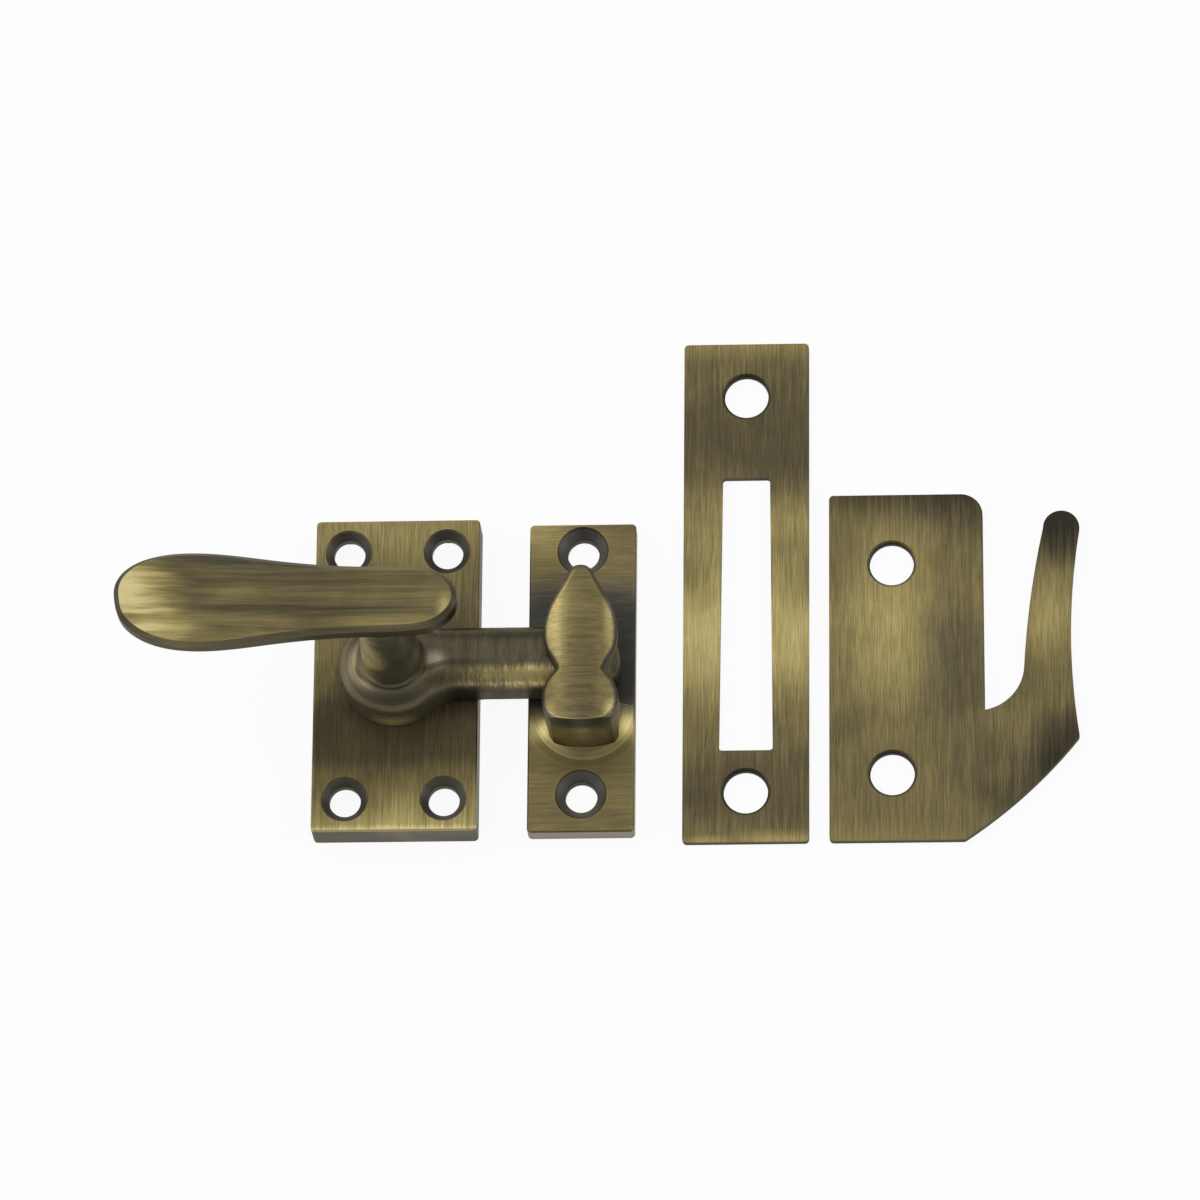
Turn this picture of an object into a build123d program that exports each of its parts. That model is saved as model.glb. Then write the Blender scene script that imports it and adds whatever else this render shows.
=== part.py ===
"""Casement fastener with its keeper and two spare strikes, cast and cut from solid brass.

The kit lies flat: every mounting face is on the plane Z = 0 and faces -Z.
The origin is the middle of the base plate's mounting face, on the axis of the turning handle.
+X runs along the tongue towards the keeper, +Y along the plates, +Z away from the window.
"""
from build123d import *
from math import cos, radians, sin, sqrt, tan
import os

# Finish common to the plates
corner_round = 0.8
edge_break = 0.3
sink_angle = 82.0

# How far a cut runs past the metal, and the middle of a quarter arc as a share of its radius
cut_spare = 1.0
quarter_bend = 1 - sqrt(0.5)

# Base plate, a casting that is hollow behind its face
base_width = 29.4
base_height = 58.6
base_thick = 6.35
base_face = 3.2
base_rim = 2.1
base_screw_side = 5.9
base_screw_end = 6.0
base_screw_hole = 5.6
base_screw_sink = 8.5

# Pivot
spigot_diameter = 8.0
bore_clearance = 0.05
hub_gap = 0.1
spring_outer = 15.0
spring_sheet = 0.5
spring_rise = 0.35
spring_clearance = 0.05
spring_bore_clearance = 0.15
washer_outer = 13.0
washer_thick = 0.9
pivot_screw_shank = 4.0
pivot_screw_depth = 9.0
pivot_screw_head = 7.4
pivot_screw_head_height = 1.1
pivot_screw_slot = 1.0
pivot_screw_slot_depth = 0.6
tapping_clearance = 0.05

# Hub and tongue of the turning handle
hub_diameter = 19.4
tongue_width = 11.9
tongue_offset = 0.75
tongue_lift = 0.9
tongue_thick = 8.5
tongue_past_hook = 6.6
tongue_root_round = 7.0
casting_round = 4.8
tongue_rise_length = 7.0

# Stem of the turning handle
stem_foot = 10.8
stem_waist = 9.6
stem_waist_at = 0.35
stem_head = 10.4
stem_toe = 1.0
stem_toe_sink = 0.3

# Grip of the turning handle
grip_height = 35.4
grip_reach = 45.6
grip_heel = 13.9
grip_bulge = 17.6
grip_bulge_from_end = 13.1
grip_neck = 11.7
grip_neck_at = 5.5
grip_thick = 5.6
grip_crown = 22.0
grip_bow = 480.0
grip_swing = 8.0
grip_end_curve = ((0.07, 0.43), (0.22, 0.67), (0.56, 0.91))
grip_waist_curve = ((0.36, 0.45), (0.73, 0.9))
grip_heel_turns = (67.5, 45.0, 22.5)
grip_top_bevel = 0.9
grip_back_round = 1.6

# Keeper plate
keeper_gap = 8.8
keeper_width = 19.05
keeper_height = 58.1
keeper_thick = 3.8
keeper_screw_top = 5.1
keeper_screw_bottom = 7.1
keeper_screw_hole = 5.7
keeper_screw_sink = 9.3

# Hook of the keeper
hook_shift = 0.6
hook_seat_clearance = 0.3
hook_face_clearance = 0.4
hook_blade = 4.1
hook_arm = 8.1
hook_tip_reach = 21.2
hook_point = 5.1
hook_point_drop = 2.2
hook_lobe = 12.5
hook_lobe_at = 11.4
hook_neck = 11.9
hook_neck_at = 5.3
hook_waist = 8.4
hook_waist_at = 1.8
hook_root = 13.5
hook_root_at = -3.7
hook_crown = 14.0
hook_foot = 11.5
hook_lead_in = 6.0
hook_lead_depth = 1.2
hook_edge_round = 1.3
hook_flare_radius = 10.6
hook_flare_height = 5.6
hook_flare_inner = 5.0
hook_flare_back = 0.8
hook_flare_sink = 0.15
hook_taper_top = 14.0
hook_taper_clearance = 0.1
hook_corner_width = 10.8
hook_corner_rise = 1.1


# Strikes
strike_thick = 1.6
strike_drop = 1.2
strike_hole = 7.9
strike_hole_bevel = 0.5
mortise_gap = 8.4
mortise_width = 22.5
mortise_height = 94.7
mortise_screw_top = 10.1
mortise_screw_bottom = 9.4
mortise_slot_top = 8.5
mortise_slot_bottom = 9.6
mortise_slot_start = 17.1
mortise_slot_length = 51.8
mortise_slot_round = 0.6
rim_gap = 3.6
rim_plate_width = 27.5
rim_height = 65.2
rim_screw_side = 11.2
rim_screw_top = 13.1
rim_screw_bottom = 12.5
rim_plate_corner = 4.0
rim_width = 44.45
rim_foot_width = 24.0
rim_heel = 19.1
rim_finger_top = 61.8
rim_finger_x = 41.55
rim_finger_tip = 6.5
rim_slot_floor = 24.2
rim_slot_lean = 0.2

# Points on the rim strike's curves, from its lower left corner
rim_slot_bend = (32.75, 27.2)
rim_finger_root = (34.7, 32.4)
rim_finger_inner_bend = (36.2, 47.0)
rim_finger_outer_bend = (43.1, 38.5)
rim_heel_bend = (34.6, 8.4)

# Places that follow from the sizes above
base_front = base_thick
face_back = base_thick - base_face
bore_radius = spigot_diameter / 2 + bore_clearance
hub_bottom = base_front + hub_gap
tongue_bottom = base_front + tongue_lift
tongue_top = tongue_bottom + tongue_thick
tongue_low_side = tongue_offset - tongue_width / 2
keeper_x = base_width / 2 + keeper_gap + keeper_width / 2
hook_x = keeper_x + hook_shift
hook_seat = tongue_low_side - hook_seat_clearance
hook_inner = tongue_top + hook_face_clearance
hook_front = hook_inner + hook_blade
hook_low_side = hook_seat - hook_arm
tongue_end = hook_x + tongue_past_hook
grip_top = base_front + grip_height + grip_thick
grip_back = base_front + grip_height
mortise_x = keeper_x + keeper_width / 2 + mortise_gap + mortise_width / 2
rim_x = mortise_x + mortise_width / 2 + rim_gap
strike_bottom = -base_height / 2 - strike_drop
spring_height = spring_sheet + spring_rise
washer_top = face_back - spring_clearance - spring_height
washer_bottom = washer_top - washer_thick
stand = (Align.CENTER, Align.CENTER, Align.MIN)


def between(start, end, share):
    """The value that lies a share of the way from start to end."""
    return start + share * (end - start)


def flat_plate(width, height, thick):
    """A plate lying on Z = 0 with its corners and its front edge just broken."""
    blank = extrude(RectangleRounded(width, height, corner_round), thick)
    front_edge = blank.faces().sort_by(Axis.Z)[-1].edges()
    return chamfer(front_edge, edge_break)


def countersunk(x, y, front, hole, sink):
    """The tool that cuts one countersunk screw hole down through a face at height front."""
    depth = (sink - hole) / 2 / tan(radians(sink_angle / 2))
    shank = Pos(x, y, 0) * Cylinder(hole / 2, 3 * front)
    cone = Pos(x, y, front - depth) * Cone(hole / 2, sink / 2, depth, align=stand)
    return shank + cone


def bevelled_hole(x, y):
    """The tool that cuts one plain screw hole with a broken edge through a strike."""
    shank = Pos(x, y, 0) * Cylinder(strike_hole / 2, 3 * strike_thick)
    wide = strike_hole / 2 + strike_hole_bevel
    bevel = Cone(strike_hole / 2, wide, strike_hole_bevel, align=stand)
    return shank + Pos(x, y, strike_thick - strike_hole_bevel) * bevel


def base_plate():
    """The cast base plate: four screw holes, a bore for the handle and a hollow back."""
    plate = flat_plate(base_width, base_height, base_thick)
    hollow = RectangleRounded(base_width - 2 * base_rim, base_height - 2 * base_rim, 2 * corner_round)
    plate -= extrude(hollow, face_back)
    screw_x = base_width / 2 - base_screw_side
    screw_y = base_height / 2 - base_screw_end
    for x in (-screw_x, screw_x):
        for y in (-screw_y, screw_y):
            plate -= countersunk(x, y, base_front, base_screw_hole, base_screw_sink)
    plate -= Cylinder(bore_radius, 3 * base_thick)
    return plate


def spring_washer():
    """The coned spring washer that gives the handle its friction."""
    inner = spigot_diameter / 2 + spring_bore_clearance
    outer = spring_outer / 2
    section = Polyline(
        (inner, 0, washer_top),
        (outer, 0, washer_top + spring_rise),
        (outer, 0, washer_top + spring_height),
        (inner, 0, washer_top + spring_sheet),
        close=True,
    )
    return revolve(make_face(section), Axis.Z)


def retaining_washer():
    """The flat washer that the pivot screw clamps to the end of the spigot."""
    ring = Circle(washer_outer / 2) - Circle(pivot_screw_shank / 2 + tapping_clearance)
    return Pos(0, 0, washer_bottom) * extrude(ring, washer_thick)


def pivot_screw():
    """The slotted screw that holds the handle in the base plate from behind."""
    head = Cylinder(pivot_screw_head / 2, pivot_screw_head_height, align=stand)
    shank_length = pivot_screw_head_height + washer_thick + pivot_screw_depth
    shank = Cylinder(pivot_screw_shank / 2, shank_length, align=stand)
    slot = Box(pivot_screw_head, pivot_screw_slot, pivot_screw_slot_depth, align=stand)
    return Pos(0, 0, washer_bottom - pivot_screw_head_height) * (head + shank - slot)


def hub_and_tongue():
    """The keyhole-shaped hub and tongue, one casting with a heavily rounded top."""
    half = tongue_width / 2
    straight = tongue_end - half
    bar = Pos(straight / 2, tongue_offset) * Rectangle(straight, tongue_width)
    keyhole = Circle(hub_diameter / 2) + bar
    roots = keyhole.vertices().filter_by_position(Axis.X, hub_diameter / 4, hub_diameter / 2)
    keyhole = fillet(roots, tongue_root_round)
    keyhole += Pos(straight, tongue_offset) * Circle(half)
    block = Pos(0, 0, hub_bottom) * extrude(keyhole, tongue_top - hub_bottom)
    block = fillet(block.faces().sort_by(Axis.Z)[-1].edges(), casting_round)
    relief = Polyline(
        (hub_diameter / 2, -hub_diameter, hub_bottom),
        (hub_diameter / 2 + tongue_rise_length, -hub_diameter, tongue_bottom),
        (tongue_end + cut_spare, -hub_diameter, tongue_bottom),
        (tongue_end + cut_spare, -hub_diameter, hub_bottom),
        close=True,
    )
    return block - extrude(make_face(relief), 2 * hub_diameter, dir=(0, 1, 0))


def stem():
    """The turned stem between the hub and the grip: a small toe, then a long waist."""
    toe = stem_foot / 2 + stem_toe
    toe_z = tongue_top - stem_toe_sink
    foot_z = tongue_top + stem_toe
    root_z = tongue_top - casting_round / 2
    head_z = grip_back + grip_thick / 2
    waist_z = tongue_top + stem_waist_at * (grip_back - tongue_top)
    bend = stem_toe * quarter_bend
    foot = (stem_foot / 2, 0, foot_z)
    head = (stem_head / 2, 0, head_z)
    toe_arc = ThreePointArc((toe, 0, toe_z), (stem_foot / 2 + bend, 0, tongue_top + bend), foot)
    side = ThreePointArc(foot, (stem_waist / 2, 0, waist_z), head)
    rest = Polyline(head, (0, 0, head_z), (0, 0, root_z), (toe, 0, root_z), (toe, 0, toe_z))
    return revolve(make_face([toe_arc, side, rest]), Axis.Z)


def grip_outline():
    """The grip seen from above: a long drop, with a half round heel over the stem."""
    bulge = grip_bulge / 2
    neck = grip_neck / 2
    bulge_x = grip_bulge_from_end - grip_reach
    side = [(between(-grip_reach, bulge_x, along), share * bulge) for along, share in grip_end_curve]
    side.append((bulge_x, bulge))
    for along, fall in grip_waist_curve:
        side.append((between(bulge_x, grip_neck_at, along), between(bulge, neck, fall)))
    side.append((grip_neck_at, neck))
    for turn in grip_heel_turns:
        reach = (grip_heel - grip_neck_at) * cos(radians(turn))
        side.append((grip_neck_at + reach, neck * sin(radians(turn))))
    far_side = [(x, -y) for x, y in reversed(side)]
    return make_face(Spline((-grip_reach, 0), *side, (grip_heel, 0), *far_side, periodic=True))


def grip():
    """The lever's grip: a bowed and crowned bar cut to the outline of a long drop."""
    half = grip_bulge / 2 + cut_spare
    shoulder = grip_top - (grip_crown - sqrt(grip_crown**2 - half**2))
    left = (grip_neck_at, -half, shoulder)
    right = (grip_neck_at, half, shoulder)
    top = ThreePointArc(left, (grip_neck_at, 0, grip_top), right)
    under = Polyline(right, (grip_neck_at, half, grip_back), (grip_neck_at, -half, grip_back), left)
    section = make_face([top, under])
    bow_axis = Axis((grip_neck_at, 0, grip_top + grip_bow), (0, 1, 0))
    bar = revolve(section, bow_axis, grip_swing) + revolve(section, bow_axis, -grip_swing)
    lever = bar & extrude(grip_outline(), 2 * grip_top)
    lever = chamfer(lever.faces().sort_by(Axis.Z)[-1].edges(), grip_top_bevel)
    return fillet(lever.faces().sort_by(Axis.Z)[0].edges(), grip_back_round)


def turn_handle():
    """The turning handle: grip, stem, hub, tongue and spigot in one casting."""
    body = hub_and_tongue() + stem() + grip()
    spigot = Cylinder(spigot_diameter / 2, hub_bottom - washer_top, align=stand)
    body += Pos(0, 0, washer_top) * spigot
    tapping = Cylinder(pivot_screw_shank / 2 + tapping_clearance, pivot_screw_depth + cut_spare, align=stand)
    return body - Pos(0, 0, washer_top) * tapping


def hook_outline():
    """The hook seen from the front: a spear-shaped head, a waist and a rounded root."""
    tip = hook_seat + hook_tip_reach
    waist = (hook_waist / 2, hook_seat + hook_waist_at)
    corner = (hook_corner_width / 2, hook_low_side + hook_corner_rise)
    head = Spline(
        (0, tip),
        (hook_point / 2, tip - hook_point_drop),
        (hook_lobe / 2, hook_seat + hook_lobe_at),
        (hook_neck / 2, hook_seat + hook_neck_at),
        waist,
        tangents=((1, 0), (-0.4, -1)),
    )
    foot = Spline(waist, (hook_root / 2, hook_seat + hook_root_at), corner, tangents=((1, -1), (-0.8, -1)))
    under = ThreePointArc(corner, (0, hook_low_side), (-corner[0], corner[1]))
    return make_face([head, foot, under, mirror(head, Plane.YZ), mirror(foot, Plane.YZ)])


def hook_cuts():
    """What the hook's blank loses: the tongue's mouth, the tip's lead-in and the arm's tapers."""
    end = hook_seat + hook_tip_reach + cut_spare
    mouth = Box(2 * hook_root, 2 * hook_tip_reach, hook_inner, align=(Align.CENTER, Align.MIN, Align.MIN))
    cuts = Pos(0, hook_seat, 0) * mouth
    lead = Polyline(
        (-hook_root, end - cut_spare - hook_lead_in, hook_inner),
        (-hook_root, end, hook_inner + hook_lead_depth),
        (-hook_root, end, hook_inner),
        close=True,
    )
    cuts += extrude(make_face(lead), 2 * hook_root, dir=(1, 0, 0))
    below = hook_low_side - cut_spare
    taper = Polyline(
        (hook_foot / 2, below, 0),
        (hook_root, below, 0),
        (hook_root, below, hook_taper_top),
        (hook_root / 2 + hook_taper_clearance, below, hook_taper_top),
        close=True,
    )
    side = extrude(make_face(taper), hook_arm + 2 * cut_spare, dir=(0, 1, 0))
    return cuts + side + mirror(side, Plane.YZ)


def hook_foot_flare():
    """The concave flare where the arm grows out of the keeper's plate."""
    sunk = keeper_thick - hook_flare_sink
    top = keeper_thick + hook_flare_height
    buried = keeper_thick / 2
    rim = (hook_flare_radius, 0, sunk)
    neck = (hook_flare_inner, 0, top)
    bend = (between(neck[0], rim[0], quarter_bend), 0, between(sunk, top, quarter_bend))
    side = ThreePointArc(rim, bend, neck)
    rest = Polyline(neck, (0, 0, top), (0, 0, buried), (hook_flare_radius, 0, buried), rim)
    flare = Pos(0, hook_seat - hook_flare_back, 0) * revolve(make_face([side, rest]), Axis.Z)
    flat_width = keeper_width - 2 * edge_break
    below = Box(flat_width, keeper_height / 2, 4 * keeper_thick, align=(Align.CENTER, Align.MAX, Align.MIN))
    return flare & Pos(-hook_shift, hook_seat, 0) * below


def hook_keeper():
    """The keeper: a plate and the hook that holds the tongue, in one casting."""
    plate = flat_plate(keeper_width, keeper_height, keeper_thick)
    top_screw = keeper_height / 2 - keeper_screw_top
    bottom_screw = -keeper_height / 2 + keeper_screw_bottom
    for y in (top_screw, bottom_screw):
        plate -= countersunk(0, y, keeper_thick, keeper_screw_hole, keeper_screw_sink)

    crown = Rot(90, 0, 0) * Cylinder(hook_crown, 4 * hook_tip_reach)
    blank = Pos(0, 0, keeper_thick / 2) * extrude(hook_outline(), hook_front)
    blank &= Pos(0, 0, hook_front - hook_crown) * crown
    front_edges = blank.faces().sort_by(Axis.Z)[-1].edges()
    rim = front_edges.filter_by(lambda edge: edge.center().Y > hook_low_side + hook_corner_rise)
    hook = fillet(rim, hook_edge_round) - hook_cuts()
    hook = Pos(hook_shift, 0, 0) * (hook + hook_foot_flare())
    return Pos(keeper_x, 0, 0) * (plate + hook)


def strike_plate(face, holes):
    """A strike cut from sheet, with its screw holes."""
    plate = extrude(face, strike_thick)
    for x, y in holes:
        plate -= bevelled_hole(x, y)
    return plate


def mortise_strike():
    """The long strike for a mortised frame, with a slot that widens downwards."""
    middle = strike_bottom + mortise_height / 2
    plan = Pos(mortise_x, middle) * RectangleRounded(mortise_width, mortise_height, corner_round)
    slot_bottom = strike_bottom + mortise_slot_start
    slot_top = slot_bottom + mortise_slot_length
    slot = make_face(
        Polyline(
            (mortise_x - mortise_slot_top / 2, slot_top),
            (mortise_x + mortise_slot_top / 2, slot_top),
            (mortise_x + mortise_slot_bottom / 2, slot_bottom),
            (mortise_x - mortise_slot_bottom / 2, slot_bottom),
            close=True,
        )
    )
    slot = fillet(slot.vertices(), mortise_slot_round)
    top_screw = strike_bottom + mortise_height - mortise_screw_top
    bottom_screw = strike_bottom + mortise_screw_bottom
    return strike_plate(plan - slot, [(mortise_x, top_screw), (mortise_x, bottom_screw)])


def rim_strike():
    """The surface strike, whose finger catches the tongue from the side."""
    slot_floor = (rim_plate_width + rim_slot_lean, rim_slot_floor)
    tip_left = (rim_finger_x - rim_finger_tip / 2, rim_finger_top - rim_finger_tip / 2)
    tip_top = (rim_finger_x, rim_finger_top)
    tip_right = (rim_finger_x + rim_finger_tip / 2, rim_finger_top - rim_finger_tip / 2)
    heel = (rim_width, rim_heel)
    edges = [
        Line((0, 0), (0, rim_height)),
        Line((0, rim_height), (rim_plate_width, rim_height)),
        Line((rim_plate_width, rim_height), slot_floor),
        ThreePointArc(slot_floor, rim_slot_bend, rim_finger_root),
        ThreePointArc(rim_finger_root, rim_finger_inner_bend, tip_left),
        ThreePointArc(tip_left, tip_top, tip_right),
        ThreePointArc(tip_right, rim_finger_outer_bend, heel),
        ThreePointArc(heel, rim_heel_bend, (rim_foot_width, 0)),
        Line((rim_foot_width, 0), (0, 0)),
    ]
    plan = make_face(edges)
    shoulder = plan.vertices().sort_by_distance((rim_plate_width, rim_height, 0))[0]
    plan = fillet(shoulder, rim_plate_corner)
    for corner in ((0, 0, 0), (0, rim_height, 0), (rim_foot_width, 0, 0), (rim_width, rim_heel, 0)):
        plan = fillet(plan.vertices().sort_by_distance(corner)[0], corner_round)
    plan = Pos(rim_x, strike_bottom) * plan
    screw_x = rim_x + rim_screw_side
    top_screw = strike_bottom + rim_height - rim_screw_top
    bottom_screw = strike_bottom + rim_screw_bottom
    return strike_plate(plan, [(screw_x, top_screw), (screw_x, bottom_screw)])


if __name__ == "__main__":
    os.makedirs("parts", exist_ok=True)
    latch_pieces = (base_plate, turn_handle, spring_washer, retaining_washer, pivot_screw)
    for make in latch_pieces + (hook_keeper, mortise_strike, rim_strike):
        export_step(make(), f"parts/{make.__name__}.step")
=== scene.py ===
"""Looks of the casement fastener and its strikes: brushed antique brass on a white studio floor.

The scene is in metres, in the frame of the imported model: backs on Z = 0, +Y up in the photo. Places
and reaches of the finish are written in mm.
"""
from math import cos, radians, sin

import bpy
from mathutils import Matrix, Vector

mm = 0.001

# Camera, as the photograph looks at the fastener: angles in degrees, places and the width seen in
# metres, and the sensor in mm
view_tilt = 20.0
view_swing = 3.4
view_roll = -0.5
view_distance = 1.5
view_target = Vector((0.03592, 0.01596, 0.0))
view_width = 0.2151
sensor_width = 36.0

# Studio light from above: direction, cosines where it starts and is full, and its strength.
# The front card is dark and takes light away.
studio_lights = (
    ("left_softbox", (-0.78, 0.10, 0.62), 0.78, 0.96, 1.9),
    ("right_softbox", (0.85, 0.05, 0.52), 0.86, 0.97, 1.1),
    ("overhead_softbox", (0.0, 0.20, 0.98), 0.55, 0.92, 0.50),
    ("front_card", (0.0, -0.80, 0.60), 0.80, 0.97, -0.15),
)
studio_dim = 0.35

# Floor: metres, its own grey for light and shadow, and the share of plain white that the camera sees
floor_size = 6.0
floor_gap = 0.00005
floor_grey = (0.86, 0.86, 0.86, 1.0)
floor_white_share = 0.93
plain_white = (1.0, 1.0, 1.0, 1.0)

# Antique brass, from the black patina to the gold that brushing leaves: tone and colour
brass_ramp = (
    (0.00, (0.034, 0.030, 0.020, 1.0)),
    (0.20, (0.062, 0.052, 0.029, 1.0)),
    (0.40, (0.125, 0.103, 0.051, 1.0)),
    (0.60, (0.250, 0.203, 0.083, 1.0)),
    (0.80, (0.470, 0.385, 0.155, 1.0)),
    (1.00, (0.740, 0.620, 0.300, 1.0)),
)
steel_dark = (0.18, 0.18, 0.19, 1.0)
steel_bright = (0.55, 0.55, 0.57, 1.0)

# How much yellow a grey of 1 takes out, and the least that is left
grey_pull = -0.65
least_yellow = 0.3

# Roughness of dark patina and of bare gold
patina_roughness = 0.44
gold_roughness = 0.30

# Patina covers part of the metal and dulls the white shine at glancing angles
bare_share = 0.78
edge_tint = (0.50, 0.48, 0.42, 1.0)

# Brush lines: noise cells per metre along X, Y and Z, few along the lines and many across them.
# Where the lines run round an axis, X counts the distance from it.
plate_grain = (8600.0, 230.0, 8600.0)
grip_grain = (90.0, 3600.0, 2500.0)
tongue_grain = (3600.0, 380.0, 800.0)
turning_grain = (2600.0, 1.0, 900.0)
keeper_grain = (240.0, 6400.0, 3200.0)
foot_grain = (2400.0, 1.0, 1.0)
hidden_grain = (2500.0, 2500.0, 2500.0)

# Sizes of the finer and broader brush lines against the grain, and of the patina clouds in cells per metre
fine_lines = 1.0
medium_lines = 0.42
broad_streaks = 0.14
medium_share = 0.35
patina_clouds = 60.0
noise_contrast = (0.3, 0.7)

# How much brush lines, streaks and patina clouds change the tone, in this order. The sides of the plates
# have only clouds, and the hidden pieces have lines and clouds.
plate_marks = (0.22, 0.06, 0.10)
side_marks = (0.12,)
handle_marks = (0.14, 0.13, 0.12)
keeper_marks = (0.15, 0.06, 0.12)
hidden_marks = (0.20, 0.15)

# How far streaks push the edges of the zones of painted light and patina out and in
plate_fray = 0.25
handle_fray = 0.5

# Plain tones, from 0, black patina, to 1, bare gold, and the grey of hub, stem and tongue
hub_tone = 0.35
hub_grey = 0.35
grip_tone = 0.45
# Tone of the painted shade on the grip's sides
grip_shaded_side_tone = 0.26
keeper_tone = 0.475
keeper_side_tone = 0.68
washer_tone = 0.5
screw_tone = 0.62

# Heights and one place along X in mm at which a finish begins and is full
grip_height = (38.0, 41.0)
hook_height = (14.0, 17.0)
tongue_start = (8.0, 13.0)

# The face of the keeper's plate, and how far below its face any plate's side begins and is full, in mm
keeper_face = 3.8
side_drop = (0.30, 0.38)

# Slopes, as the upward part of the normal, at which a mark begins and is full: worn gold with a painted
# highlight on the grip's shoulder, painted shade on its sides and under the tongue, more patina on the
# stem's walls, and the hook's lighter ridge and greyer bevel
grip_shoulder_slope = (0.95, 0.85)
grip_shaded_side_slope = (0.78, 0.30)
stem_wall_slope = (0.75, 0.25)
tongue_underside_shade_slope = (0.45, 0.0)
ridge_inner_slope = (0.995, 0.96)
ridge_outer_slope = (0.80, 0.92)
bevel_slope = (0.90, 0.68)

# The grip's ends count as steeper than they are, by this share of their lean along X
grip_end_lean = -0.60

# Changes of tone, grey and share of bare metal on those slopes
# On the grip: worn gold with a painted highlight on its shoulder, and painted grey shade on its sides
grip_shoulder_wear_and_highlight = 0.16
grip_shaded_side_grey = 0.5
stem_wall_bare = -0.35
# The tongue's underside takes painted shade
tongue_underside_shade = -0.16
ridge_change = 0.08
bevel_change = -0.16
bevel_grey = 0.5

# Worn edges: how far they reach in mm, and their change of tone
plate_edge_width = 0.5
handle_edge_width = 0.8
keeper_edge_width = 0.6
handle_edge_change = 0.15
keeper_edge_change = 0.20

# Recesses keep their patina: how far the shade looks in mm, and the change of tone
recess_reach = 5.0
plate_recess_change = -0.08
handle_recess_change = -0.12

# An edge is where the rounded normal turns and the place lies open, a recess where it lies closed
edge_turn = (0.02, 0.20)
edge_openness = (0.55, 0.85)
recess_openness = (0.30, 0.85)
edge_samples = 4

# Relief of the brush lines: depth in mm, and its strength
relief_depth = 0.05
brushed_relief = 0.12
handle_relief = 0.10
hidden_relief = 0.08

# How much smoother the handle is than its tone says
handle_gloss = 0.08

# Screw holes in mm: middle, outer and inner radius that is darkened with painted shade, and by how much
base_hole_shade = tuple(((x, y), 4.25, 3.0, -0.05) for x in (-8.8, 8.8) for y in (-23.3, 23.3))
keeper_hole_shade = tuple(((33.03, y), 4.65, 3.05, -0.20) for y in (23.95, -21.95))
mortise_hole_shade = tuple(((62.2, y), 4.45, 4.05, -0.18) for y in (54.1, -21.1))
rim_hole_shade = tuple(((88.25, y), 4.45, 4.05, -0.18) for y in (21.6, -18.0))
hole_shade_grey = 0.3
hole_soft = 0.05

# Zones of painted highlight, reflection and shade, partly patina, in mm: centre, reach, softness, tone
# change and grey change
all_heights = 1000.0
# Painted bright and dark bands across the base plate, partly patina
base_light_and_patina_zones = (
    ((0.0, 32.0, 0.0), (60.0, 16.0, all_heights), 0.8, 0.17, 0.0),
    ((0.0, -36.0, 0.0), (60.0, 20.0, all_heights), 0.8, 0.38, 0.0),
    ((0.0, -30.0, 0.0), (60.0, 2.2, all_heights), 0.9, 0.40, 0.0),
    ((0.0, -10.5, 0.0), (60.0, 8.0, all_heights), 0.4, -0.13, 0.0),
    ((9.0, 11.0, 0.0), (9.0, 9.0, all_heights), 0.9, -0.14, 0.0),
    ((-13.0, 2.0, 0.0), (6.0, 14.0, all_heights), 0.9, 0.08, 0.0),
)
# Painted reflections of the softboxes as bands across the mortise strike, partly patina
mortise_light_and_patina_zones = (
    ((62.2, 65.0, 0.0), (60.0, 5.0, all_heights), 0.9, 0.14, 0.0),
    ((62.2, 46.0, 0.0), (60.0, 18.0, all_heights), 0.8, -0.12, 0.0),
    ((62.2, 28.0, 0.0), (60.0, 14.0, all_heights), 0.9, 0.17, 0.0),
    ((62.2, 8.0, 0.0), (60.0, 17.0, all_heights), 0.9, 0.33, 0.0),
    ((62.2, -21.0, 0.0), (60.0, 11.0, all_heights), 0.8, -0.11, 0.0),
    ((68.0, -30.5, 0.0), (14.0, 3.0, all_heights), 0.9, 0.24, 0.0),
    ((55.0, -30.5, 0.0), (6.0, 2.0, all_heights), 0.9, 0.20, 0.0),
)
# Painted highlights and painted shade on the rim strike, partly patina
rim_light_and_patina_zones = (
    ((87.0, 12.0, 0.0), (14.0, 30.0, all_heights), 0.9, 0.24, 0.0),
    ((102.0, 38.0, 0.0), (20.0, 13.0, all_heights), 0.9, -0.42, 0.1),
    ((83.0, 36.5, 0.0), (12.0, 8.0, all_heights), 0.9, -0.24, 0.0),
    ((99.5, 2.0, 0.0), (10.0, 16.0, all_heights), 0.9, -0.10, 0.1),
    ((106.0, -14.0, 0.0), (9.0, 8.0, all_heights), 0.9, -0.08, 0.0),
    ((77.0, 5.0, 0.0), (3.0, 26.0, all_heights), 0.9, 0.06, 0.0),
    ((118.5, 35.0, 0.0), (12.0, 17.0, all_heights), 0.8, -0.60, 0.0),
    ((116.0, 12.0, 0.0), (10.0, 15.0, all_heights), 0.9, 0.20, 0.0),
    ((120.0, -13.0, 0.0), (10.0, 10.0, all_heights), 0.9, -0.34, 0.0),
    ((115.0, -18.5, 0.0), (9.0, 7.0, all_heights), 0.9, -0.22, 0.0),
    ((109.5, -23.0, 0.0), (9.0, 6.0, all_heights), 0.9, -0.14, -0.2),
    ((87.0, -32.0, 0.0), (24.0, 7.0, all_heights), 0.9, 0.12, -0.3),
)
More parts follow.
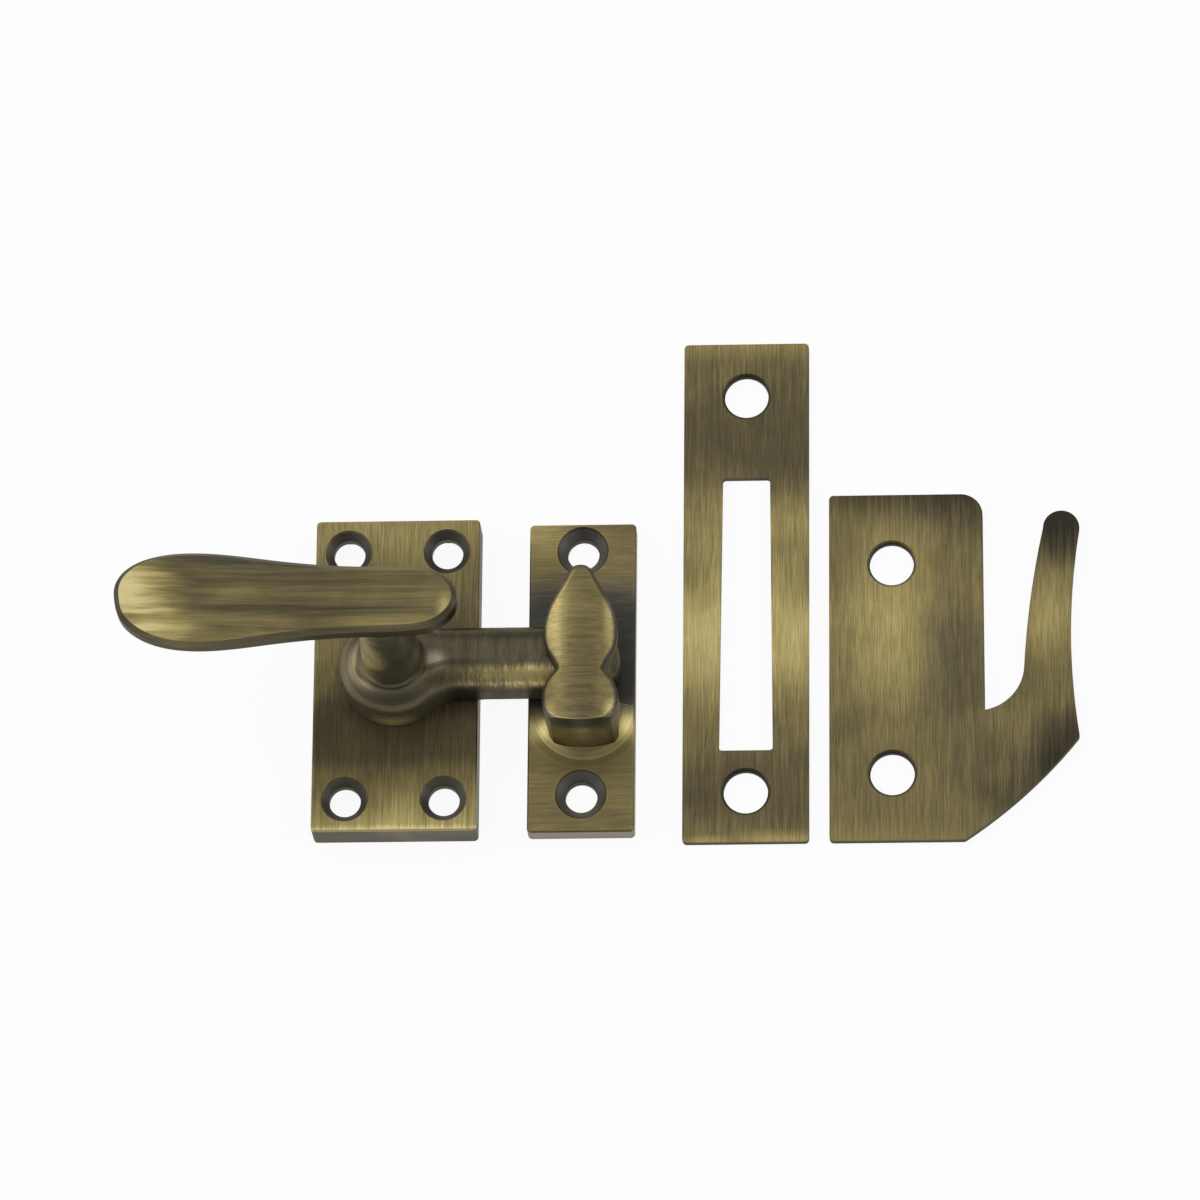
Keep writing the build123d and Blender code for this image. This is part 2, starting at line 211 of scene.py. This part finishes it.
# Painted highlights on the grip, tongue, hub and stem, and painted shade on the grip
handle_light_and_patina_zones = (
    ((-45.0, 1.0, 48.0), (13.0, 10.0, 12.0), 0.9, 0.58, 0.0),
    ((-38.0, -5.5, 48.0), (10.0, 4.0, 12.0), 0.9, 0.26, 0.0),
    ((-15.0, -2.2, 46.0), (26.0, 0.9, 12.0), 0.8, -0.14, 0.0),
    ((4.0, -4.6, 46.0), (18.0, 1.3, 12.0), 0.8, 0.20, 0.0),
    ((11.9, -2.4, 46.0), (2.0, 4.0, 12.0), 0.9, 0.30, 0.0),
    ((-18.0, 7.0, 46.0), (36.0, 3.2, 12.0), 0.9, -0.06, 0.5),
    ((27.0, -3.4, 15.5), (24.0, 2.5, 6.0), 0.9, 0.72, -0.5),
    ((8.0, -0.6, 15.7), (3.0, 3.0, 5.0), 0.9, 0.38, 0.3),
    ((-7.5, -2.0, 13.5), (3.5, 7.0, 5.0), 0.9, 0.14, 0.0),
    ((0.0, -9.7, 8.5), (9.0, 2.5, 4.5), 0.8, 0.50, -0.4),
    ((-4.6, -2.5, 27.0), (5.2, 8.0, 16.0), 0.7, 0.58, -0.3),
)
# Painted highlights on the keeper's plate, hook and foot, and painted shade under the tongue
keeper_light_and_patina_zones = (
    ((25.0, 30.0, 3.8), (9.0, 12.0, 3.0), 0.9, 0.22, 0.0),
    ((33.0, 5.0, 3.8), (26.0, 16.0, 4.0), 0.5, -0.33, 0.9),
    ((25.0, -9.5, 4.5), (4.0, 4.5, 2.5), 0.9, 0.38, 0.0),
    ((42.0, -9.5, 4.5), (4.0, 4.5, 2.5), 0.9, 0.38, 0.0),
    ((29.2, 5.0, 19.5), (3.4, 13.0, 3.0), 0.9, 0.10, 0.0),
    ((39.0, 6.0, 19.5), (1.8, 12.0, 3.0), 0.9, 0.22, 0.0),
    ((33.6, -10.5, 19.5), (7.0, 4.0, 3.0), 0.6, -0.07, 0.0),
    ((28.0, -11.5, 19.0), (2.4, 3.0, 2.0), 0.9, 0.30, 0.0),
    ((39.3, -11.5, 19.0), (2.4, 3.0, 2.0), 0.9, 0.30, 0.0),
    ((33.6, -13.5, 10.0), (9.0, 2.0, 8.0), 0.6, 0.26, 0.2),
)

# Tool marks round the hook's foot in mm: the point that they circle, and the zone that they cover
foot_mark_centre = (33.6, -6.0, 3.8)
foot_zone_centre = (33.6, -10.0, 4.0)
foot_zone_reach = (16.0, 9.0, 3.5)
foot_zone_soft = 0.5

# Flat plates: node, material, tones of face and sides, change on the edges, zones of painted light and
# patina, and holes with painted shade
flat_plates = (
    ("base_plate", "base_brass", 0.44, 0.46, 0.16, base_light_and_patina_zones, base_hole_shade),
    ("mortise_strike", "mortise_brass", 0.48, 0.26, -0.08, mortise_light_and_patina_zones, mortise_hole_shade),
    ("rim_strike", "rim_brass", 0.47, 0.26, -0.08, rim_light_and_patina_zones, rim_hole_shade),
)


def in_metres(place):
    """A place or a reach in mm, in metres."""
    return tuple(value * mm for value in place)


def new_group(name, inputs, outputs):
    """A shader node group with named sockets: inputs (kind, name, value) and outputs (kind, name)."""
    tree = bpy.data.node_groups.new(name, "ShaderNodeTree")
    for kind, label, value in inputs:
        socket = tree.interface.new_socket(name=label, in_out="INPUT", socket_type=kind)
        socket.default_value = value
    for kind, label in outputs:
        tree.interface.new_socket(name=label, in_out="OUTPUT", socket_type=kind)
    start = tree.nodes.new("NodeGroupInput")
    end = tree.nodes.new("NodeGroupOutput")
    return tree, start, end


def join(tree, source, target):
    """Links an output to an input, or sets the input where the source is a plain value."""
    if isinstance(source, (int, float, tuple)):
        target.default_value = source
    else:
        tree.links.new(source, target)


def calculate(tree, operation, first, second=0.0, third=0.0, clamp=False):
    """A math node's result."""
    node = tree.nodes.new("ShaderNodeMath")
    node.operation = operation
    node.use_clamp = clamp
    for socket, value in zip(node.inputs, (first, second, third)):
        join(tree, value, socket)
    return node.outputs["Value"]


def product(tree, first, second):
    """One value times the other."""
    return calculate(tree, "MULTIPLY", first, second)


def shifted(tree, value, mask, change):
    """The value plus the change, as far as the mask goes."""
    return calculate(tree, "MULTIPLY_ADD", mask, change, value)


def calculate_vector(tree, operation, first, second=(0.0, 0.0, 0.0)):
    """A vector math node's outputs: Vector, and Value for a length or a dot product."""
    node = tree.nodes.new("ShaderNodeVectorMath")
    node.operation = operation
    join(tree, first, node.inputs[0])
    join(tree, second, node.inputs[1])
    return node.outputs


def split(tree, vector):
    """The X, Y and Z outputs of a vector."""
    node = tree.nodes.new("ShaderNodeSeparateXYZ")
    join(tree, vector, node.inputs["Vector"])
    return node.outputs


def round_axis(tree, distance, height=0.0):
    """Coordinates for lines that run round an axis: the distance from it, and the height along it."""
    node = tree.nodes.new("ShaderNodeCombineXYZ")
    join(tree, distance, node.inputs["X"])
    join(tree, height, node.inputs["Z"])
    return node.outputs["Vector"]


def noise(tree, vector, scale, detail, roughness=0.5, distortion=0.0):
    """A noise texture's grey value."""
    node = tree.nodes.new("ShaderNodeTexNoise")
    join(tree, vector, node.inputs["Vector"])
    node.inputs["Scale"].default_value = scale
    node.inputs["Detail"].default_value = detail
    node.inputs["Roughness"].default_value = roughness
    node.inputs["Distortion"].default_value = distortion
    return node.outputs["Fac"]


def fade(tree, value, low, high, to_low=0.0, to_high=1.0):
    """Smooth step of a value between low and high. Where low is above high, it falls."""
    node = tree.nodes.new("ShaderNodeMapRange")
    node.interpolation_type = "SMOOTHSTEP"
    join(tree, value, node.inputs["Value"])
    node.inputs["From Min"].default_value = low
    node.inputs["From Max"].default_value = high
    node.inputs["To Min"].default_value = to_low
    node.inputs["To Max"].default_value = to_high
    return node.outputs["Result"]


def blend_values(tree, factor, first, second):
    """A value between first and second."""
    node = tree.nodes.new("ShaderNodeMix")
    node.data_type = "FLOAT"
    join(tree, factor, node.inputs["Factor"])
    join(tree, first, node.inputs["A"])
    join(tree, second, node.inputs["B"])
    return node.outputs["Result"]


def use(tree, group, **values):
    """Places a node group in a tree, with its inputs linked or set."""
    node = tree.nodes.new("ShaderNodeGroup")
    node.node_tree = group
    for label, value in values.items():
        join(tree, value, node.inputs[label])
    return node


def make_brushing():
    """Brush lines: long fine scratches along one axis, set by the Grain scale."""
    tree, start, end = new_group(
        "brushing",
        [("NodeSocketVector", "Vector", (0.0, 0.0, 0.0)), ("NodeSocketVector", "Grain", (1.0, 1.0, 1.0))],
        [("NodeSocketFloat", "Lines"), ("NodeSocketFloat", "Streaks")],
    )
    place = start.outputs["Vector"]
    stretched = calculate_vector(tree, "MULTIPLY", place, start.outputs["Grain"])["Vector"]
    fine = noise(tree, stretched, fine_lines, detail=3.0, roughness=0.6)
    medium = noise(tree, stretched, medium_lines, detail=2.0)
    broad = noise(tree, stretched, broad_streaks, detail=3.0, roughness=0.6)
    lines = blend_values(tree, medium_share, fine, medium)
    join(tree, fade(tree, lines, *noise_contrast), end.inputs["Lines"])
    join(tree, fade(tree, broad, *noise_contrast), end.inputs["Streaks"])
    return tree


def make_patina():
    """Patina clouds: soft uneven darkening."""
    tree, start, end = new_group(
        "patina",
        [("NodeSocketVector", "Vector", (0.0, 0.0, 0.0))],
        [("NodeSocketFloat", "Clouds")],
    )
    clouds = noise(tree, start.outputs["Vector"], patina_clouds, detail=4.0, roughness=0.55, distortion=0.6)
    join(tree, fade(tree, clouds, *noise_contrast), end.inputs["Clouds"])
    return tree


def make_zone():
    """A soft oval zone: 1 inside, 0 outside, with an edge that Fray roughens."""
    tree, start, end = new_group(
        "zone",
        [
            ("NodeSocketVector", "Vector", (0.0, 0.0, 0.0)),
            ("NodeSocketVector", "Centre", (0.0, 0.0, 0.0)),
            ("NodeSocketVector", "Reach", (1.0, 1.0, 1.0)),
            ("NodeSocketFloat", "Soft", 0.6),
            ("NodeSocketFloat", "Fray", 0.0),
        ],
        [("NodeSocketFloat", "Mask")],
    )
    offset = calculate_vector(tree, "SUBTRACT", start.outputs["Vector"], start.outputs["Centre"])["Vector"]
    shares = calculate_vector(tree, "DIVIDE", offset, start.outputs["Reach"])["Vector"]
    length = calculate_vector(tree, "LENGTH", shares)["Value"]
    far = calculate(tree, "ADD", length, start.outputs["Fray"])
    depth = calculate(tree, "SUBTRACT", 1.0, far)
    share = calculate(tree, "DIVIDE", depth, start.outputs["Soft"], clamp=True)
    join(tree, fade(tree, share, 0.0, 1.0), end.inputs["Mask"])
    return tree


def make_edges():
    """Edge wear and recesses, told from the rounded normal and from how open the surface lies."""
    tree, start, end = new_group(
        "edges",
        [("NodeSocketFloat", "Width", keeper_edge_width * mm)],
        [("NodeSocketFloat", "Edge"), ("NodeSocketFloat", "Recess")],
    )
    rounded = tree.nodes.new("ShaderNodeBevel")
    rounded.samples = edge_samples
    join(tree, start.outputs["Width"], rounded.inputs["Radius"])
    flat = tree.nodes.new("ShaderNodeNewGeometry")
    alike = calculate_vector(tree, "DOT_PRODUCT", rounded.outputs["Normal"], flat.outputs["True Normal"])
    turn = calculate(tree, "SUBTRACT", 1.0, alike["Value"], clamp=True)
    shade = tree.nodes.new("ShaderNodeAmbientOcclusion")
    shade.samples = edge_samples
    shade.inputs["Distance"].default_value = recess_reach * mm
    openness = shade.outputs["AO"]
    edge = product(tree, fade(tree, turn, *edge_turn), fade(tree, openness, *edge_openness))
    join(tree, edge, end.inputs["Edge"])
    join(tree, fade(tree, openness, *recess_openness, 1.0, 0.0), end.inputs["Recess"])
    return tree


def make_brass_tones():
    """Antique brass colour for a tone from 0, black patina, to 1, bare gold. Grey takes its yellow out."""
    tree, start, end = new_group(
        "brass_tones",
        [("NodeSocketFloat", "Tone", 0.5), ("NodeSocketFloat", "Grey", 0.0)],
        [("NodeSocketColor", "Color"), ("NodeSocketFloat", "Roughness")],
    )
    ramp = tree.nodes.new("ShaderNodeValToRGB")
    elements = ramp.color_ramp.elements
    while len(elements) < len(brass_ramp):
        elements.new(0.5)
    for element, (place, colour) in zip(elements, brass_ramp):
        element.position = place
        element.color = colour
    join(tree, start.outputs["Tone"], ramp.inputs["Fac"])
    paler = tree.nodes.new("ShaderNodeHueSaturation")
    saturation = calculate(tree, "MULTIPLY_ADD", start.outputs["Grey"], grey_pull, 1.0)
    join(tree, calculate(tree, "MAXIMUM", saturation, least_yellow), paler.inputs["Saturation"])
    join(tree, ramp.outputs["Color"], paler.inputs["Color"])
    roughness = fade(tree, start.outputs["Tone"], 0.0, 1.0, patina_roughness, gold_roughness)
    join(tree, paler.outputs["Color"], end.inputs["Color"])
    join(tree, roughness, end.inputs["Roughness"])
    return tree


def start_material(name):
    """A metal material and what its maker needs: the tree, the shader and the object coordinates."""
    material = bpy.data.materials.new(name)
    material.use_nodes = True
    tree = material.node_tree
    shader = tree.nodes["Principled BSDF"]
    shader.inputs["Metallic"].default_value = bare_share
    shader.inputs["Specular Tint"].default_value = edge_tint
    place = tree.nodes.new("ShaderNodeTexCoord").outputs["Object"]
    return material, tree, shader, place


def finish_metal(tree, shader, colour, roughness, lines, relief):
    """Joins colour, roughness and the fine relief of the brush lines to the shader."""
    join(tree, colour, shader.inputs["Base Color"])
    join(tree, roughness, shader.inputs["Roughness"])
    bump = tree.nodes.new("ShaderNodeBump")
    bump.inputs["Strength"].default_value = relief
    bump.inputs["Distance"].default_value = relief_depth * mm
    join(tree, lines, bump.inputs["Height"])
    join(tree, bump.outputs["Normal"], shader.inputs["Normal"])


def finish_brass(tree, shader, groups, tone, grey, lines, relief=brushed_relief, gloss=0.0):
    """Finishes a brass surface from its tone, its grey and its brush lines."""
    brass = use(tree, groups["brass_tones"], Tone=tone, Grey=grey)
    roughness = calculate(tree, "SUBTRACT", brass.outputs["Roughness"], gloss)
    finish_metal(tree, shader, brass.outputs["Color"], roughness, lines, relief)


def mixed_tone(tree, tone, marks, weights):
    """The tone with each mark added by its weight. A mark counts from its middle, 0.5."""
    for mark, weight in zip(marks, weights):
        tone = shifted(tree, tone, calculate(tree, "SUBTRACT", mark, 0.5), weight)
    return tone


def frayed(tree, mark, strength):
    """How far the brush lines or streaks push a zone's edge out or in."""
    return product(tree, calculate(tree, "SUBTRACT", mark, 0.5), strength)


def add_light_and_patina_zones(tree, groups, place, tone, grey, light_and_patina_zones, fray):
    """Adds soft zones of painted highlight, reflection and shade, partly patina, to tone and grey. A zone
    is (centre, reach, soft, tone change, grey change) in mm.
    """
    for centre, reach, soft, lighter, greyer in light_and_patina_zones:
        zone = use(
            tree,
            groups["zone"],
            Vector=place,
            Centre=in_metres(centre),
            Reach=in_metres(reach),
            Soft=soft,
            Fray=fray,
        )
        tone = shifted(tree, tone, zone.outputs["Mask"], lighter)
        if greyer:
            grey = shifted(tree, grey, zone.outputs["Mask"], greyer)
    return tone, grey


def add_hole_shade(tree, groups, place, tone, grey, hole_shade):
    """Paints shade into each countersink or bevel, and once more onto the wall inside it. Holes are in mm.
    """
    for (x, y), outer, inner, change in hole_shade:
        for reach in (outer, inner):
            zone = use(
                tree,
                groups["zone"],
                Vector=place,
                Centre=in_metres((x, y, 0.0)),
                Reach=in_metres((reach, reach, all_heights)),
                Soft=hole_soft,
            )
            tone = shifted(tree, tone, zone.outputs["Mask"], change)
            grey = shifted(tree, grey, zone.outputs["Mask"], hole_shade_grey)
    return tone, grey


def below_face(tree, height, face):
    """Mask of a plate's sides: 1 from a little below its face down."""
    start, full = in_metres(side_drop)
    return fade(tree, height, face - start, face - full)


def brushed_plate(node, groups, name, tone, side_tone, edge_change, light_and_patina_zones, hole_shade):
    """A plate brushed along Y, with greyer sides below its face, painted light and shade in zones, and
    painted shade in its holes.
    """
    material, tree, shader, place = start_material(name)
    face = max(vertex.co.z for vertex in node.data.vertices)
    grain = use(tree, groups["brushing"], Vector=place, Grain=plate_grain)
    patina = use(tree, groups["patina"], Vector=place)
    edges = use(tree, groups["edges"], Width=plate_edge_width * mm)
    lines, streaks, clouds = grain.outputs["Lines"], grain.outputs["Streaks"], patina.outputs["Clouds"]
    tone = mixed_tone(tree, tone, (lines, streaks, clouds), plate_marks)
    fray = frayed(tree, streaks, plate_fray)
    # Painted highlights, reflections and shade, partly patina, in soft zones
    tone, grey = add_light_and_patina_zones(tree, groups, place, tone, 0.0, light_and_patina_zones, fray)
    side = below_face(tree, split(tree, place)["Z"], face)
    tone = blend_values(tree, side, tone, mixed_tone(tree, side_tone, (clouds,), side_marks))
    grey = calculate(tree, "ADD", grey, side, clamp=True)
    tone = shifted(tree, tone, edges.outputs["Edge"], edge_change)
    # Painted shade in the screw holes
    tone, grey = add_hole_shade(tree, groups, place, tone, grey, hole_shade)
    tone = shifted(tree, tone, edges.outputs["Recess"], plate_recess_change)
    finish_brass(tree, shader, groups, tone, grey, lines)
    return material


def handle_lines(tree, groups, place, height, on_grip, on_tongue):
    """The handle's brush lines and streaks: along the grip, across the tongue, else round the pivot."""
    along = use(tree, groups["brushing"], Vector=place, Grain=grip_grain)
    across = use(tree, groups["brushing"], Vector=place, Grain=tongue_grain)
    flat = calculate_vector(tree, "MULTIPLY", place, (1.0, 1.0, 0.0))["Vector"]
    from_pivot = calculate_vector(tree, "LENGTH", flat)["Value"]
    turned = use(tree, groups["brushing"], Vector=round_axis(tree, from_pivot, height), Grain=turning_grain)
    marks = []
    for kind in ("Lines", "Streaks"):
        low_part = blend_values(tree, on_tongue, turned.outputs[kind], across.outputs[kind])
        marks.append(blend_values(tree, on_grip, low_part, along.outputs[kind]))
    return marks


def wear_and_shade_grip(tree, tone, grey, facing, on_grip):
    """Worn gold with a painted highlight where the grip's top starts to turn down, and painted grey shade
    on its sides.
    """
    upward = shifted(tree, facing["Z"], calculate(tree, "ABSOLUTE", facing["X"]), grip_end_lean)
    shoulder = product(tree, fade(tree, upward, *grip_shoulder_slope), on_grip)
    side = product(tree, fade(tree, upward, *grip_shaded_side_slope), on_grip)
    tone = shifted(tree, tone, shoulder, grip_shoulder_wear_and_highlight)
    tone = blend_values(tree, side, tone, grip_shaded_side_tone)
    grey = shifted(tree, grey, side, grip_shaded_side_grey)
    return tone, grey


def handle_brass(groups):
    """The cast handle: polished by the hand, darker and greyer on its hub, stem and tongue, with painted
    highlights and painted shade.
    """
    material, tree, shader, place = start_material("handle_brass")
    axes = split(tree, place)
    facing = split(tree, tree.nodes.new("ShaderNodeTexCoord").outputs["Normal"])
    patina = use(tree, groups["patina"], Vector=place)
    edges = use(tree, groups["edges"], Width=handle_edge_width * mm)
    on_grip = fade(tree, axes["Z"], *in_metres(grip_height))
    on_tongue = fade(tree, axes["X"], *in_metres(tongue_start))
    lines, streaks = handle_lines(tree, groups, place, axes["Z"], on_grip, on_tongue)
    tone = blend_values(tree, on_grip, hub_tone, grip_tone)
    tone = mixed_tone(tree, tone, (lines, streaks, patina.outputs["Clouds"]), handle_marks)
    grey = fade(tree, on_grip, 1.0, 0.0, 0.0, hub_grey)
    fray = frayed(tree, blend_values(tree, on_tongue, streaks, lines), handle_fray)
    # Painted highlights and shade, partly patina, in soft zones
    tone, grey = add_light_and_patina_zones(tree, groups, place, tone, grey, handle_light_and_patina_zones, fray)
    tone, grey = wear_and_shade_grip(tree, tone, grey, facing, on_grip)
    on_hub_and_stem = product(tree, fade(tree, on_grip, 1.0, 0.0), fade(tree, on_tongue, 1.0, 0.0))
    wall = product(tree, fade(tree, facing["Z"], *stem_wall_slope), on_hub_and_stem)
    join(tree, shifted(tree, bare_share, wall, stem_wall_bare), shader.inputs["Metallic"])
    # Painted shade on the tongue's underside
    shaded_underside = product(tree, fade(tree, facing["Z"], *tongue_underside_shade_slope), on_tongue)
    tone = shifted(tree, tone, shaded_underside, tongue_underside_shade)
    tone = shifted(tree, tone, edges.outputs["Edge"], handle_edge_change)
    tone = shifted(tree, tone, edges.outputs["Recess"], handle_recess_change)
    finish_brass(tree, shader, groups, tone, grey, lines, handle_relief, handle_gloss)
    return material


def keeper_lines(tree, groups, place):
    """The keeper's brush lines and streaks: across hook and plate, and round the hook at its foot."""
    across = use(tree, groups["brushing"], Vector=place, Grain=keeper_grain)
    from_middle = calculate_vector(tree, "SUBTRACT", place, in_metres(foot_mark_centre))["Vector"]
    distance = calculate_vector(tree, "LENGTH", from_middle)["Value"]
    swirl = use(tree, groups["brushing"], Vector=round_axis(tree, distance), Grain=foot_grain)
    foot = use(
        tree,
        groups["zone"],
        Vector=place,
        Centre=in_metres(foot_zone_centre),
        Reach=in_metres(foot_zone_reach),
        Soft=foot_zone_soft,
    )
    marks = []
    for kind in ("Lines", "Streaks"):
        marks.append(blend_values(tree, foot.outputs["Mask"], across.outputs[kind], swirl.outputs[kind]))
    return marks


def tone_hook_by_slope(tree, tone, grey, facing, on_hook):
    """A lighter ridge round the hook's smooth face, and a greyer bevel outside it."""
    upward = facing["Z"]
    ridge = product(tree, fade(tree, upward, *ridge_inner_slope), fade(tree, upward, *ridge_outer_slope))
    bevel = product(tree, fade(tree, upward, *bevel_slope), on_hook)
    tone = shifted(tree, tone, product(tree, ridge, on_hook), ridge_change)
    tone = shifted(tree, tone, bevel, bevel_change)
    grey = shifted(tree, grey, bevel, bevel_grey)
    return tone, grey


def keeper_brass(groups):
    """The cast keeper: a bright hook with painted highlights on it and its foot, on a plate with painted
    shade under the tongue.
    """
    material, tree, shader, place = start_material("keeper_brass")
    height = split(tree, place)["Z"]
    facing = split(tree, tree.nodes.new("ShaderNodeTexCoord").outputs["Normal"])
    patina = use(tree, groups["patina"], Vector=place)
    edges = use(tree, groups["edges"], Width=keeper_edge_width * mm)
    lines, streaks = keeper_lines(tree, groups, place)
    tone = mixed_tone(tree, keeper_tone, (lines, streaks, patina.outputs["Clouds"]), keeper_marks)
    # Painted highlights and shade, partly patina, in soft zones
    tone, grey = add_light_and_patina_zones(tree, groups, place, tone, 0.0, keeper_light_and_patina_zones, 0.0)
    on_hook = fade(tree, height, *in_metres(hook_height))
    tone, grey = tone_hook_by_slope(tree, tone, grey, facing, on_hook)
    side = below_face(tree, height, keeper_face * mm)
    tone = blend_values(tree, side, tone, keeper_side_tone)
    grey = calculate(tree, "ADD", grey, side, clamp=True)
    tone = shifted(tree, tone, edges.outputs["Edge"], keeper_edge_change)
    tone, grey = add_hole_shade(tree, groups, place, tone, grey, keeper_hole_shade)
    tone = shifted(tree, tone, edges.outputs["Recess"], plate_recess_change)
    finish_brass(tree, shader, groups, tone, grey, lines)
    return material


def hidden_lines(tree, groups, place, tone):
    """Fine marks of the pivot's hidden pieces, and the tone with them."""
    grain = use(tree, groups["brushing"], Vector=place, Grain=hidden_grain)
    patina = use(tree, groups["patina"], Vector=place)
    lines = grain.outputs["Lines"]
    return lines, mixed_tone(tree, tone, (lines, patina.outputs["Clouds"]), hidden_marks)


def hidden_brass(name, groups, tone):
    """Plain brass of the retaining washer and the pivot screw."""
    material, tree, shader, place = start_material(name)
    lines, tone = hidden_lines(tree, groups, place, tone)
    finish_brass(tree, shader, groups, tone, 0.0, lines, hidden_relief)
    return material


def spring_steel(groups):
    """Grey steel of the spring washer."""
    material, tree, shader, place = start_material("spring_steel")
    lines, tone = hidden_lines(tree, groups, place, washer_tone)
    colour = tree.nodes.new("ShaderNodeMix")
    colour.data_type = "RGBA"
    join(tree, tone, colour.inputs["Factor"])
    colour.inputs["A"].default_value = steel_dark
    colour.inputs["B"].default_value = steel_bright
    roughness = fade(tree, tone, 0.0, 1.0, patina_roughness, gold_roughness)
    finish_metal(tree, shader, colour.outputs["Result"], roughness, lines, hidden_relief)
    return material


def dress(node, material):
    """Gives a CAD node its material."""
    node.data.materials.clear()
    node.data.materials.append(material)


def make_floor():
    """A white floor that keeps a light shadow under the brass."""
    bpy.ops.mesh.primitive_plane_add(size=floor_size, location=(0.0, 0.0, -floor_gap))
    floor = bpy.context.object
    floor.name = "studio_floor"
    material = bpy.data.materials.new("studio_white")
    material.use_nodes = True
    tree = material.node_tree
    paper = tree.nodes["Principled BSDF"]
    paper.inputs["Base Color"].default_value = floor_grey
    paper.inputs["Roughness"].default_value = 1.0
    paper.inputs["Specular IOR Level"].default_value = 0.0
    glow = tree.nodes.new("ShaderNodeEmission")
    glow.inputs["Color"].default_value = plain_white
    rays = tree.nodes.new("ShaderNodeLightPath")
    seen = calculate(tree, "ADD", rays.outputs["Is Camera Ray"], rays.outputs["Is Glossy Ray"])
    seen = calculate(tree, "ADD", seen, rays.outputs["Is Transmission Ray"], clamp=True)
    mix = tree.nodes.new("ShaderNodeMixShader")
    join(tree, product(tree, seen, floor_white_share), mix.inputs["Fac"])
    join(tree, paper.outputs["BSDF"], mix.inputs[1])
    join(tree, glow.outputs["Emission"], mix.inputs[2])
    join(tree, mix.outputs["Shader"], tree.nodes["Material Output"].inputs["Surface"])
    floor.data.materials.append(material)


def make_world():
    """A dim studio with the soft lights of studio_lights, each a smooth patch of the sky."""
    world = bpy.data.worlds.new("studio")
    bpy.context.scene.world = world
    world.use_nodes = True
    tree = world.node_tree
    sky = tree.nodes.new("ShaderNodeTexCoord").outputs["Generated"]
    strength = studio_dim
    for name, direction, starts, full, power in studio_lights:
        towards = calculate_vector(tree, "DOT_PRODUCT", sky, tuple(Vector(direction).normalized()))["Value"]
        towards.node.label = name
        strength = shifted(tree, strength, fade(tree, towards, starts, full), power)
    background = tree.nodes["Background"]
    background.inputs["Color"].default_value = plain_white
    join(tree, strength, background.inputs["Strength"])


def make_camera():
    """The photograph's view: from a little below and to the right of straight on."""
    tilt = radians(view_tilt)
    swing = radians(view_swing)
    roll = radians(view_roll)
    back = Vector((sin(swing), -sin(tilt) * cos(swing), cos(tilt) * cos(swing)))
    level_right = Vector((0.0, 1.0, 0.0)).cross(back).normalized()
    level_up = back.cross(level_right)
    right = level_right * cos(roll) - level_up * sin(roll)
    up = level_right * sin(roll) + level_up * cos(roll)
    turn = Matrix((right, up, back)).transposed().to_4x4()
    data = bpy.data.cameras.new("photo_view")
    data.sensor_width = sensor_width
    data.lens = sensor_width * view_distance / view_width
    camera = bpy.data.objects.new("photo_view", data)
    camera.matrix_world = Matrix.Translation(view_target + back * view_distance) @ turn
    bpy.context.scene.collection.objects.link(camera)
    bpy.context.scene.camera = camera


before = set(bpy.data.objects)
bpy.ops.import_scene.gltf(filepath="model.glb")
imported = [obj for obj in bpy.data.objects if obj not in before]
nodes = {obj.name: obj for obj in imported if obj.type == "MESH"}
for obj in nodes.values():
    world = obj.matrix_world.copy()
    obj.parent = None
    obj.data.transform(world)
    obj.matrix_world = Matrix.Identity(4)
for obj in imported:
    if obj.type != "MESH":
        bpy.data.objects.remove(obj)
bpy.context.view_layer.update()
bpy.context.scene.view_settings.view_transform = "Standard"

groups = {
    "brushing": make_brushing(),
    "patina": make_patina(),
    "zone": make_zone(),
    "edges": make_edges(),
    "brass_tones": make_brass_tones(),
}

for plate, *finish in flat_plates:
    dress(nodes[plate], brushed_plate(nodes[plate], groups, *finish))
dress(nodes["turn_handle"], handle_brass(groups))
dress(nodes["hook_keeper"], keeper_brass(groups))
dress(nodes["spring_washer"], spring_steel(groups))
dress(nodes["retaining_washer"], hidden_brass("washer_brass", groups, washer_tone))
dress(nodes["pivot_screw"], hidden_brass("screw_brass", groups, screw_tone))

make_floor()
make_world()
make_camera()
